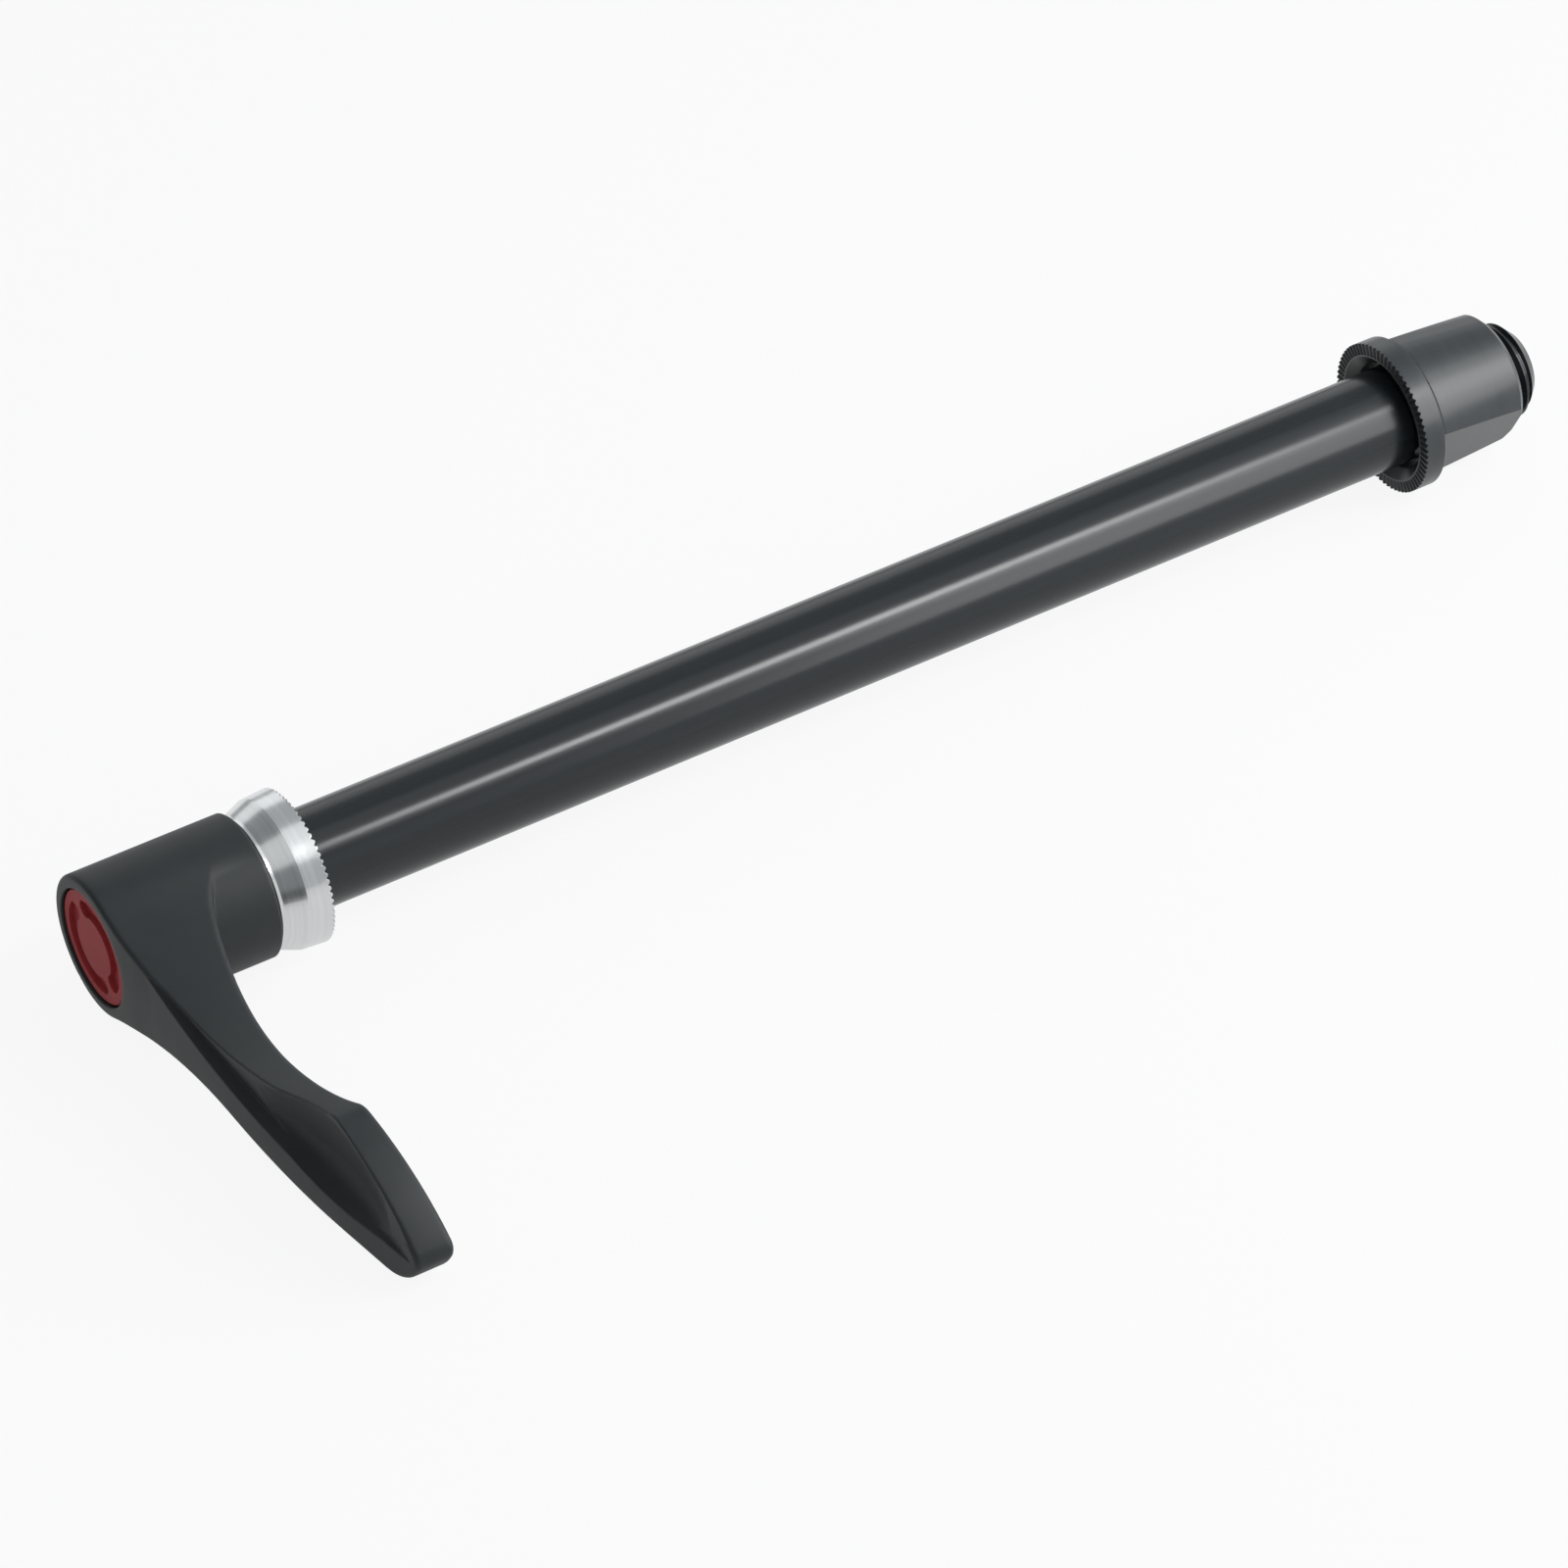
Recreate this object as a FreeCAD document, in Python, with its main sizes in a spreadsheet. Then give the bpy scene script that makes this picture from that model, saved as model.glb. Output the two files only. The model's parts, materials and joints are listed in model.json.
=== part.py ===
import FreeCAD, Part
import math
import os
import Sketcher

# Bicycle thru axle with a lift-and-turn lever, a knurled clamp washer and a flanged end nut.
# Frame: +X runs along the axle from the lever to the threaded end, +Z is up, and the lever arm
# lies along -Y. The origin is on the axis, in the clamp face of the washer. Sizes are in millimetres.

SIZES = [
    # the axle
    ("shank_diameter", 12.0, "plain shank, also the outside of the thread"),
    ("clamp_length", 168.0, "from the washer's clamp face to the tip of the thread"),
    ("thread_length", 19.0, "length of the M12 x 1.5 thread, up to the tip"),
    ("tip_chamfer", 1.7, "chamfer on the tip of the thread"),
    ("core_diameter", 6.0, "hole drilled into the axle from the tip"),
    ("core_depth", 148.0, "depth of that hole, without its drill point"),
    ("head_diameter", 14.6, "flange that pulls on the clamp washer"),
    ("head_width", 2.5, "width of that flange"),
    ("spline_root", 9.0, "diameter of the splined boss between its teeth"),
    ("spline_tip", 10.2, "diameter of the splined boss over its teeth"),
    ("spline_tooth", 1.0, "width of a spline tooth at its foot"),
    ("spline_length", 4.0, "length of the splined boss"),
    ("spline_teeth", 16, "number of spline teeth"),
    ("spline_clearance", 0.08, "play between the lever's spline and the boss"),
    ("stem_diameter", 5.9, "threaded stem that holds the cap"),
    ("stem_chamfer", 0.5, "chamfer on the stem's end"),
    ("small_chamfer", 0.3, "chamfers on the washer and on the nut's flange"),
    ("fine_chamfer", 0.2, "chamfers on the cap and on the barrel's inner end"),
    ("bore_chamfer", 0.6, "chamfer on the nut's bore"),
    # the clamp washer, its ring and the thrust washer
    ("washer_width", 6.0, "from the clamp face to the back of the neck"),
    ("washer_diameter", 18.7, "at the clamp face"),
    ("washer_ridge", 18.3, "at the ridge where the cove starts"),
    ("washer_band", 2.95, "width of the cylindrical band"),
    ("washer_neck", 16.2, "diameter of the neck beside the lever"),
    ("neck_width", 0.4, "width of the neck"),
    ("cove_radius", 5.0, "radius of the hollow between ridge and neck"),
    ("running_clearance", 0.1, "radial play of the clamp washer on the shank"),
    ("ring_section", 1.3, "thickness of the rubber ring"),
    ("ring_groove", 2.0, "width of the groove for the ring"),
    ("ring_place", 1.6, "from the clamp face to the groove"),
    ("thrust_thickness", 0.5, "thickness of the thrust washer"),
    ("thrust_diameter", 14.2, "outer diameter of the thrust washer"),
    # the knurl on the washer and the nut
    ("knurl_teeth", 72, "number of radial grooves in a clamp face"),
    ("knurl_depth", 0.3, "depth of a groove"),
    ("knurl_width", 0.6, "width of a groove"),
    ("washer_reach", 0.9, "length of a groove in the washer's face, in from the rim"),
    ("nut_reach", 1.4, "length of a groove in the nut's face, in from the rim"),
    # the nut
    ("nut_overlap", 0.3, "how far the nut's face lies before the start of the thread"),
    ("nut_length", 15.5, "overall length"),
    ("flange_diameter", 18.9, "knurled flange"),
    ("flange_width", 3.0, "width of that flange"),
    ("nut_root", 18.4, "diameter of the body beside the flange"),
    ("nut_end", 15.8, "diameter of the body at its outer end"),
    ("nut_round", 0.7, "rounding of the outer end"),
    ("across_flats", 13.8, "wrench size"),
    ("flat_turn", 34.5, "how far the flats are turned below the horizontal"),
    ("nut_mouth", 15.8, "diameter of the countersink at the face"),
    ("nut_recess", 13.4, "diameter of the recess behind the countersink"),
    ("mouth_depth", 1.2, "depth of the countersink"),
    ("recess_depth", 2.4, "depth of the recess"),
    ("thread_clearance", 0.05, "radial play of the nut on the thread"),
    # the lever
    ("lever_gap", 0.3, "gap between the washer and the lever's barrel"),
    ("barrel_diameter", 17.5, "barrel of the lever"),
    ("barrel_length", 19.7, "length of the barrel"),
    ("head_clearance", 0.3, "gap around the axle's head inside the barrel"),
    ("web_width", 3.8, "thickness of the splined web in the barrel"),
    ("lever_lift", 4.5, "how far the lever is pulled out to clear the spline"),
    ("waist_out", 31.0, "from the axis to the lowest point of the arm's upper edge"),
    ("waist_top", 1.8, "height of that point"),
    ("rise_radius", 51.5, "upper edge rising to the paddle"),
    ("corner_round", 3.0, "rounding of the paddle's corner"),
    ("paddle_slope", 15.0, "slope of the paddle's upper edge at that corner"),
    ("paddle_radius", 28.0, "curve of that edge down to the tip"),
    ("tip_out", 66.8, "from the axis to the tip of the lever"),
    ("paddle_length", 15.3, "from the tip back to the paddle's corner"),
    ("tip_round", 2.0, "rounding of the tip"),
    ("toe_radius", 8.0, "curve of the lower edge up to the tip"),
    ("arch_out", 18.0, "from the axis to the highest point of the lower edge"),
    ("arch_height", -5.6, "height of that point"),
    ("sole_out", 51.0, "from the axis to the start of the straight lower edge"),
    ("sole_height", -9.75, "height of the straight lower edge"),
    ("arm_root", 17.0, "width of the arm where it flares into the barrel"),
    ("thin_out", 36.0, "from the axis to the thinnest place of the arm"),
    ("thin_depth", 6.9, "from the barrel's outer face to the inner face at that place"),
    ("root_out", 9.5, "from the axis to the start of the flare"),
    ("flare_radius", 12.5, "flare of the arm into the barrel"),
    ("inner_radius", 81.0, "inner face from the flare to the thinnest place"),
    ("spread_radius", 250.0, "inner face from there to the tip"),
    ("lean_out", 8.0, "from the axis to where the outer face leans towards the wheel"),
    ("lean_angle", 3.75, "how much it leans"),
    ("lean_blend", 60.0, "curve between the barrel's face and the leaning face"),
    ("edge_round", 0.8, "rounding along the inner edges of the arm"),
    ("outer_round", 0.6, "rounding along its outer edges and round the barrel's rim"),
    ("wall_slope", 0.6, "rise of the finger pocket's lower wall for its depth"),
    # the cap and the spring
    ("cap_diameter", 14.6, "retaining cap"),
    ("cap_clearance", 0.4, "gap around the cap"),
    ("cap_recess", 0.5, "how deep the cap sits in the barrel"),
    ("cap_thickness", 2.3, "thickness of the cap"),
    ("cap_skin", 0.9, "metal left over the stem's hole"),
    ("cap_boss", 8.4, "diameter of the threaded boss"),
    ("boss_length", 3.0, "length of the threaded boss"),
    ("stem_play", 0.05, "radial play of the stem in the boss"),
    ("stem_gap", 0.2, "gap over the end of the stem"),
    ("slot_circle", 10.6, "circle of the two wrench slots"),
    ("slot_width", 1.6, "width of a slot"),
    ("slot_end", 2.6, "diameter of the widened ends of a slot"),
    ("slot_sweep", 140.0, "angle from one end of a slot to the other"),
    ("slot_turn", 57.5, "angle of the bridge between the slots"),
    ("slot_depth", 1.2, "depth of a slot"),
    ("wire_diameter", 0.9, "spring wire"),
    ("coil_diameter", 11.8, "mean diameter of the spring"),
    ("coil_turns", 5, "number of turns"),
    ("spring_clearance", 0.45, "gap around the spring"),
    ("spring_gap", 0.05, "gap between the spring and its seats"),
]

# Stations of the finger pocket along the arm: distance out from the axis, height of its lower border,
# depth of its crease, height of the ridge above it and how far that ridge is set back.
POCKET = [
    (12.0, 4.7, -0.27, 5.3, -0.14),
    (22.8, -0.4, 1.15, 2.4, 0.39),
    (36.5, -4.2, 1.35, 2.25, 0.7),
    (51.2, -5.65, 1.08, 5.7, 0.66),
    (66.4, -5.5, -0.14, -3.6, -0.07),
]
POCKET_NAMES = ("out", "border", "crease", "ridge", "setback")

# Stations of the scoop in the middle of the pocket: distance out from the axis, height of its lower
# border, height and depth of its deepest place, height and depth of its upper border.
SCOOP = [
    (33.5, -3.0, -1.1, 0.8, 2.1, 0.45),
    (40.0, -4.6, -2.1, 2.2, 3.2, 0.5),
    (49.0, -6.1, -2.2, 2.6, 5.7, 0.5),
    (56.0, -6.0, -3.0, 1.9, 3.9, 0.4),
    (61.3, -5.5, -3.2, 0.45, 1.2, 0.2),
]
SCOOP_NAMES = ("out", "border", "middle", "depth", "top", "top_depth")

doc = FreeCAD.newDocument("thru_axle")
sheet = doc.addObject("Spreadsheet::Sheet", "Sizes")


def write_sizes():
    """Every size goes into the sheet under its own name; a station's sizes carry its number."""
    rows = list(SIZES)
    for form, stations, names in (("pocket", POCKET, POCKET_NAMES), ("scoop", SCOOP, SCOOP_NAMES)):
        for count, station in enumerate(stations, start=1):
            for name, size in zip(names, station):
                rows.append((f"{form}{count}_{name}", size, f"{form} station {count}, {name}"))
    for row, (alias, size, meaning) in enumerate(rows, start=1):
        sheet.set(f"A{row}", meaning)
        sheet.set(f"B{row}", str(size))
        sheet.setAlias(f"B{row}", alias)
    doc.recompute()


write_sizes()

# places along the axis, each worked out from the sizes
HEAD_FACE = "(-Sizes.washer_width - Sizes.thrust_thickness)"
HEAD_BACK = f"({HEAD_FACE} - Sizes.head_width)"
BOSS_END = f"({HEAD_BACK} - Sizes.spline_length)"
WEB_END = f"({HEAD_BACK} - Sizes.web_width)"
BARREL_FACE = "(-Sizes.washer_width - Sizes.lever_gap)"
BARREL_END = f"({BARREL_FACE} - Sizes.barrel_length)"
CAP_FACE = f"({BARREL_END} + Sizes.cap_recess)"
CAP_BACK = f"({CAP_FACE} + Sizes.cap_thickness)"
STEM_HOLE = f"({CAP_FACE} + Sizes.cap_skin)"
STEM_END = f"({STEM_HOLE} + Sizes.stem_gap)"
CORNER = "(Sizes.tip_out - Sizes.paddle_length)"
NUT_FACE = "(Sizes.clamp_length - Sizes.thread_length - Sizes.nut_overlap)"
# how far a cutter reaches past the metal that it takes away
PAST = "2"


def number(expression):
    """Value of an expression on the sheet."""
    found = sheet.evalExpression(expression)
    return float(getattr(found, "Value", found))


def new_body(label):
    body = doc.addObject("PartDesign::Body", label)
    body.Label = label
    return body


def datum(body, role):
    return [item for item in body.Origin.OriginFeatures if item.Role == role][0]


def new_sketch(body, name, role, offset="0"):
    """Sketch on one of the body's own planes, moved along that plane's normal by offset."""
    sketch = body.newObject("Sketcher::SketchObject", name)
    sketch.AttachmentSupport = [(datum(body, role), "")]
    sketch.MapMode = "FlatFace"
    sketch.setExpression("AttachmentOffset.Base.z", offset)
    doc.recompute()
    return sketch


def hold(sketch, geo, point, across, along):
    """Fix a vertex at a place given by two expressions."""
    place(sketch, "DistanceX", geo, point, across)
    place(sketch, "DistanceY", geo, point, along)


def place(sketch, kind, geo, point, expression):
    """Fix one distance of a vertex from the sketch's origin."""
    here = sketch.getPoint(geo, point)
    value = here.x if kind == "DistanceX" else here.y
    index = sketch.addConstraint(Sketcher.Constraint(kind, -1, 1, geo, point, value))
    sketch.setExpression(f"Constraints[{index}]", expression)


def size_arc(sketch, geo, expression):
    index = sketch.addConstraint(Sketcher.Constraint("Radius", geo, number(expression)))
    sketch.setExpression(f"Constraints[{index}]", expression)


def line_between(sketch, start, end):
    geo = sketch.addGeometry(Part.LineSegment(start, end))
    return geo, 1, 2


def arc_between(sketch, centre, start, end, turn):
    """Arc about a centre; turn is +1 where it runs anticlockwise from start to end."""
    first, last = (start, end) if turn > 0 else (end, start)
    circle = Part.Circle(centre, FreeCAD.Vector(0, 0, 1), (start - centre).Length)
    angles = [math.atan2(p.y - centre.y, p.x - centre.x) for p in (first, last)]
    geo = sketch.addGeometry(Part.ArcOfCircle(circle, angles[0], angles[1]))
    return (geo, 1, 2) if turn > 0 else (geo, 2, 1)


def chord_arc(sketch, start, end, radius, turn):
    """Arc of a given radius, shorter than half a circle, between two places."""
    middle = (start + end) * 0.5
    chord = end - start
    rise = math.sqrt(radius ** 2 - (chord.Length / 2) ** 2)
    side = FreeCAD.Vector(-chord.y, chord.x, 0).normalize() * (rise * turn)
    return arc_between(sketch, middle + side, start, end, turn)


def join(sketch, first, second, kind="Coincident"):
    sketch.addConstraint(Sketcher.Constraint(kind, first[0], first[2], second[0], second[1]))


def outline(sketch, corners, arcs=None):
    """Closed outline through corners given as expressions; arcs maps an edge's number to
    (radius expression, turn)."""
    places = [FreeCAD.Vector(number(x), number(y), 0) for x, y in corners]
    edges = []
    for index, start in enumerate(places):
        end = places[(index + 1) % len(places)]
        if arcs and index in arcs:
            radius, turn = arcs[index]
            edges.append(chord_arc(sketch, start, end, number(radius), turn))
        else:
            edges.append(line_between(sketch, start, end))
    for index, edge in enumerate(edges):
        join(sketch, edge, edges[(index + 1) % len(edges)])
    for index, (edge, (across, along)) in enumerate(zip(edges, corners)):
        hold(sketch, edge[0], edge[1], across, along)
        if arcs and index in arcs:
            size_arc(sketch, edge[0], arcs[index][0])
    doc.recompute()


def turned(body, name, corners, arcs=None, kind="Revolution"):
    """Solid (or Groove) turned about the X axis from an outline of (along, radius) places."""
    sketch = new_sketch(body, name + "_profile", "XZ_Plane")
    outline(sketch, corners, arcs)
    feature = body.newObject("PartDesign::" + kind, name)
    feature.Profile = sketch
    feature.ReferenceAxis = (sketch, ["H_Axis"])
    feature.Angle = 360
    doc.recompute()
    return feature


def extruded(body, name, sketch, length, kind="Pad", flip=False):
    """Pad or Pocket of a sketch; a length of None goes through all."""
    feature = body.newObject("PartDesign::" + kind, name)
    feature.Profile = sketch
    feature.Reversed = flip
    if length is None:
        feature.Type = "ThroughAll"
    else:
        feature.setExpression("Length", length)
    doc.recompute()
    return feature


def around_axis(body, name, feature, count):
    """Copies of a feature around the X axis."""
    pattern = body.newObject("PartDesign::PolarPattern", name)
    pattern.Originals = [feature]
    pattern.Axis = (datum(body, "X_Axis"), [""])
    pattern.Angle = 360
    pattern.setExpression("Occurrences", count)
    body.Tip = pattern
    doc.recompute()
    return pattern


def lofted(body, name, sections):
    """Cut through a row of sections."""
    feature = body.newObject("PartDesign::SubtractiveLoft", name)
    feature.Profile = sections[0]
    feature.Sections = sections[1:]
    doc.recompute()
    return feature


def edges_where(feature, test):
    """Names of a feature's edges for which test(edge) is true."""
    return [f"Edge{i}" for i, edge in enumerate(feature.Shape.Edges, start=1) if test(edge)]


def rounded(body, name, feature, edge_names, radius, kind="Fillet"):
    dressing = body.newObject("PartDesign::" + kind, name)
    dressing.Base = (feature, edge_names)
    dressing.setExpression("Radius" if kind == "Fillet" else "Size", radius)
    doc.recompute()
    return dressing


def knurl(body, face, rim, reach, inward):
    """Radial grooves across the rim of a clamp face; inward is the sign of the way into the metal."""
    half = "Sizes.knurl_width / 2"
    sketch = new_sketch(body, body.Label + "_knurl_profile", "XY_Plane", f"{rim} / 2 - {reach}")
    over = f"{face} - {inward} * Sizes.knurl_depth"
    bottom = f"{face} + {inward} * Sizes.knurl_depth"
    wide = f"2 * ({half})"
    outline(sketch, [(over, f"-({wide})"), (bottom, "0"), (over, wide)])
    cut = extruded(body, body.Label + "_knurl_groove", sketch, f"{reach} + {PAST}", "Pocket", flip=True)
    return around_axis(body, body.Label + "_knurl", cut, "Sizes.knurl_teeth")


def axle_shaft():
    """Turned axle: cap stem, splined boss, head, shank and thread, drilled from the tip."""
    body = new_body("axle_shaft")
    shank, core, stem = "Sizes.shank_diameter / 2", "Sizes.core_diameter / 2", "Sizes.stem_diameter / 2"
    tip, root, head = "Sizes.clamp_length", "Sizes.spline_root / 2", "Sizes.head_diameter / 2"
    drill = "Sizes.clamp_length - Sizes.core_depth"
    turned(body, "axle_turned", [
        (STEM_END, "0"), (STEM_END, f"{stem} - Sizes.stem_chamfer"),
        (f"{STEM_END} + Sizes.stem_chamfer", stem),
        (BOSS_END, stem), (BOSS_END, root), (HEAD_BACK, root), (HEAD_BACK, head),
        (HEAD_FACE, head), (HEAD_FACE, shank), (f"{tip} - Sizes.tip_chamfer", shank),
        (tip, f"{shank} - Sizes.tip_chamfer"), (tip, core), (drill, core),
        (f"{drill} - {core} * tan(31)", "0"),
    ])
    sketch = new_sketch(body, "axle_tooth_profile", "YZ_Plane", BOSS_END)
    foot, top = "Sizes.spline_tooth / 2", "Sizes.spline_tooth / 2 * 0.6"
    outline(sketch, [
        (f"-({foot})", f"{root} - 0.2"), (foot, f"{root} - 0.2"),
        (top, "Sizes.spline_tip / 2"), (f"-({top})", "Sizes.spline_tip / 2"),
    ])
    tooth = extruded(body, "axle_tooth", sketch, "Sizes.spline_length")
    around_axis(body, "axle_spline", tooth, "Sizes.spline_teeth")
    return body


def clamp_washer():
    """Aluminium washer with a coved back, a knurled clamp face and a groove for the rubber ring."""
    body = new_body("clamp_washer")
    bore = "(Sizes.shank_diameter / 2 + Sizes.running_clearance)"
    back, groove = "-Sizes.washer_width", "(-Sizes.ring_place)"
    seat = f"({bore} + Sizes.ring_section)"
    turned(body, "washer_turned", [
        ("0", f"{bore} + Sizes.small_chamfer"), ("0", "Sizes.washer_diameter / 2"),
        ("-Sizes.washer_band", "Sizes.washer_ridge / 2"),
        (f"{back} + Sizes.neck_width", "Sizes.washer_neck / 2"), (back, "Sizes.washer_neck / 2"),
        (back, bore), (f"{groove} - Sizes.ring_groove", bore), (f"{groove} - Sizes.ring_groove", seat),
        (groove, seat), (groove, bore), ("-Sizes.small_chamfer", bore),
    ], arcs={2: ("Sizes.cove_radius", -1)})
    knurl(body, "0", "Sizes.washer_diameter", "Sizes.washer_reach", "-1")
    return body


def washer_ring():
    """Rubber ring in the washer's groove, which keeps the washer from sliding along the shank."""
    ring = doc.addObject("Part::Torus", "washer_ring")
    ring.Label = "washer_ring"
    section = "Sizes.ring_section / 2"
    ring.setExpression("Radius1", f"Sizes.shank_diameter / 2 + Sizes.thread_clearance + {section}")
    ring.setExpression("Radius2", section)
    ring.setExpression("Placement.Base.x", "-Sizes.ring_place - Sizes.ring_groove / 2")
    ring.Placement.Rotation = FreeCAD.Rotation(FreeCAD.Vector(0, 1, 0), 90)
    doc.recompute()
    return ring


def thrust_washer():
    """Thin brass washer between the axle's head and the clamp washer."""
    body = new_body("thrust_washer")
    bore = "Sizes.shank_diameter / 2 + Sizes.thread_clearance"
    outer, face = "Sizes.thrust_diameter / 2", "-Sizes.washer_width"
    turned(body, "thrust_turned", [(HEAD_FACE, bore), (HEAD_FACE, outer), (face, outer), (face, bore)])
    return body


def arm_side(sketch):
    """Side outline of the lever: barrel, neck, paddle and sole, seen along the axle."""
    names = ("waist_out", "waist_top", "rise_radius", "paddle_length", "paddle_slope", "paddle_radius",
             "tip_out", "tip_round", "toe_radius", "arch_out", "arch_height", "sole_out", "sole_height")
    (waist_out, waist_top, rise, paddle_length, slope, paddle_radius,
     tip_out, tip_round, toe_radius, arch_out, arch_height, sole_out, sole_height) = [
        number("Sizes." + name) for name in names]
    hub = number("Sizes.barrel_diameter / 2")
    point = FreeCAD.Vector
    centre = point(0, 0, 0)
    # upper edge, from the barrel to the paddle's corner
    neck = (waist_out ** 2 + waist_top ** 2 - hub ** 2) / (2 * (hub - waist_top))
    waist = point(-waist_out, waist_top, 0)
    neck_centre = waist + point(0, neck, 0)
    on_hub_top = neck_centre * (hub / neck_centre.Length)
    rise_centre = waist + point(0, rise, 0)
    corner_out = tip_out - paddle_length
    rise_run = corner_out - waist_out
    corner = point(-corner_out, rise_centre.y - math.sqrt(rise ** 2 - rise_run ** 2), 0)
    # the paddle's curved edge, the small rounding of the tip and the turn up from the sole
    lean = math.radians(slope)
    paddle_centre = corner + point(math.sin(lean), -math.cos(lean), 0) * paddle_radius
    across = -tip_out + tip_round - paddle_centre.x
    tip_centre = paddle_centre + point(across, math.sqrt((paddle_radius - tip_round) ** 2 - across ** 2), 0)
    tip_upper = paddle_centre + (tip_centre - paddle_centre).normalize() * paddle_radius
    climb = tip_centre.y - sole_height - toe_radius
    toe_centre = tip_centre + point(math.sqrt((toe_radius - tip_round) ** 2 - climb ** 2), -climb, 0)
    tip_lower = toe_centre + (tip_centre - toe_centre).normalize() * toe_radius
    sole_end = toe_centre - point(0, toe_radius, 0)
    # lower edge, from the tip back to the barrel
    arch = (arch_out ** 2 + arch_height ** 2 - hub ** 2) / (2 * (hub + arch_height))
    arch_centre = point(-arch_out, arch_height - arch, 0)
    run, drop = sole_out - arch_out, sole_height - arch_centre.y
    heel = (run ** 2 + drop ** 2 - arch ** 2) / (2 * (arch - drop))
    heel_centre = point(-sole_out, sole_height + heel, 0)
    heel_start = point(-sole_out, sole_height, 0)
    bend = arch_centre + (heel_centre - arch_centre).normalize() * arch
    on_hub_bottom = arch_centre * (hub / arch_centre.Length)
    edges = [
        arc_between(sketch, neck_centre, on_hub_top, waist, -1),
        arc_between(sketch, rise_centre, waist, corner, -1),
        arc_between(sketch, paddle_centre, corner, tip_upper, 1),
        arc_between(sketch, tip_centre, tip_upper, tip_lower, 1),
        arc_between(sketch, toe_centre, tip_lower, sole_end, 1),
        line_between(sketch, sole_end, heel_start),
        arc_between(sketch, heel_centre, heel_start, bend, 1),
        arc_between(sketch, arch_centre, bend, on_hub_bottom, -1),
        arc_between(sketch, centre, on_hub_bottom, on_hub_top, 1),
    ]
    neck_arc, rise_arc, paddle, tip_arc, toe_arc, sole, heel_arc, arch_arc, hub_arc = edges
    for edge, following in zip(edges, edges[1:] + edges[:1]):
        join(sketch, edge, following, "Coincident" if edge is rise_arc else "Tangent")
    sketch.addConstraint(Sketcher.Constraint("Coincident", hub_arc[0], 3, -1, 1))
    sketch.addConstraint(Sketcher.Constraint("Vertical", neck_arc[0], 3, neck_arc[0], neck_arc[2]))
    sketch.addConstraint(Sketcher.Constraint("Horizontal", sole[0]))
    size_arc(sketch, hub_arc[0], "Sizes.barrel_diameter / 2")
    size_arc(sketch, rise_arc[0], "Sizes.rise_radius")
    size_arc(sketch, paddle[0], "Sizes.paddle_radius")
    size_arc(sketch, tip_arc[0], "Sizes.tip_round")
    size_arc(sketch, toe_arc[0], "Sizes.toe_radius")
    hold(sketch, neck_arc[0], neck_arc[2], "-Sizes.waist_out", "Sizes.waist_top")
    place(sketch, "DistanceX", rise_arc[0], rise_arc[2], "-" + CORNER)
    paddle_middle = f"-{CORNER} + Sizes.paddle_radius * sin(Sizes.paddle_slope)"
    place(sketch, "DistanceX", paddle[0], 3, paddle_middle)
    place(sketch, "DistanceX", tip_arc[0], 3, "-Sizes.tip_out + Sizes.tip_round")
    hold(sketch, sole[0], sole[2], "-Sizes.sole_out", "Sizes.sole_height")
    place(sketch, "DistanceX", arch_arc[0], 3, "-Sizes.arch_out")
    size_arc(sketch, arch_arc[0], "(Sizes.arch_out ^ 2 + Sizes.arch_height ^ 2"
             " - (Sizes.barrel_diameter / 2) ^ 2) / (Sizes.barrel_diameter + 2 * Sizes.arch_height)")
    doc.recompute()


def inner_cut(sketch):
    """Plan outline of what is cut away on the wheel's side of the arm."""
    flare, inner, spread = "Sizes.flare_radius", "Sizes.inner_radius", "Sizes.spread_radius"
    thin_x = f"({BARREL_END} + Sizes.thin_depth)"
    run, tail_run = "(Sizes.thin_out - Sizes.root_out)", f"(Sizes.tip_out + {PAST} - Sizes.thin_out)"
    drop = f"sqrt({inner} ^ 2 - {run} ^ 2)"
    root_x = f"({thin_x} + {inner} - {drop})"
    tail_x = f"{thin_x} + {spread} - sqrt({spread} ^ 2 - {tail_run} ^ 2)"
    flare_x = f"({root_x} + {drop} * {flare} / {inner})"
    mouth_x = f"({BARREL_END} + Sizes.arm_root)"
    mouth_y = (f"-Sizes.root_out - {run} * {flare} / {inner}"
               f" + sqrt({flare} ^ 2 - ({mouth_x} - {flare_x}) ^ 2)")
    far_y, side_x = f"-Sizes.tip_out - {PAST}", PAST
    outline(sketch, [
        (mouth_x, mouth_y), (root_x, "-Sizes.root_out"), (thin_x, "-Sizes.thin_out"),
        (tail_x, far_y), (side_x, far_y), (side_x, mouth_y),
    ], arcs={0: (flare, 1), 1: (inner, 1), 2: (spread, 1)})


def outer_cut(sketch):
    """Plan outline of what is cut away where the outer face leans towards the wheel."""
    blend, lean = "Sizes.lean_blend", "Sizes.lean_angle"
    start_y = f"(-Sizes.lean_out + {blend} * tan({lean} / 2))"
    turn_x, turn_y = f"({BARREL_END} + {blend} * (1 - cos({lean})))", f"({start_y} - {blend} * sin({lean}))"
    far_y, side_x = f"(-Sizes.tip_out - {PAST})", f"{BARREL_END} - {PAST}"
    tail_x = f"{turn_x} + ({turn_y} - {far_y}) * tan({lean})"
    outline(sketch, [
        (BARREL_END, start_y), (turn_x, turn_y), (tail_x, far_y), (side_x, far_y), (side_x, start_y),
    ], arcs={0: (blend, 1)})


def leaning_face(out):
    """Place of the arm's outer face at a distance out from the axis."""
    return f"({BARREL_END} + ({out} - Sizes.lean_out) * tan(Sizes.lean_angle))"


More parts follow.
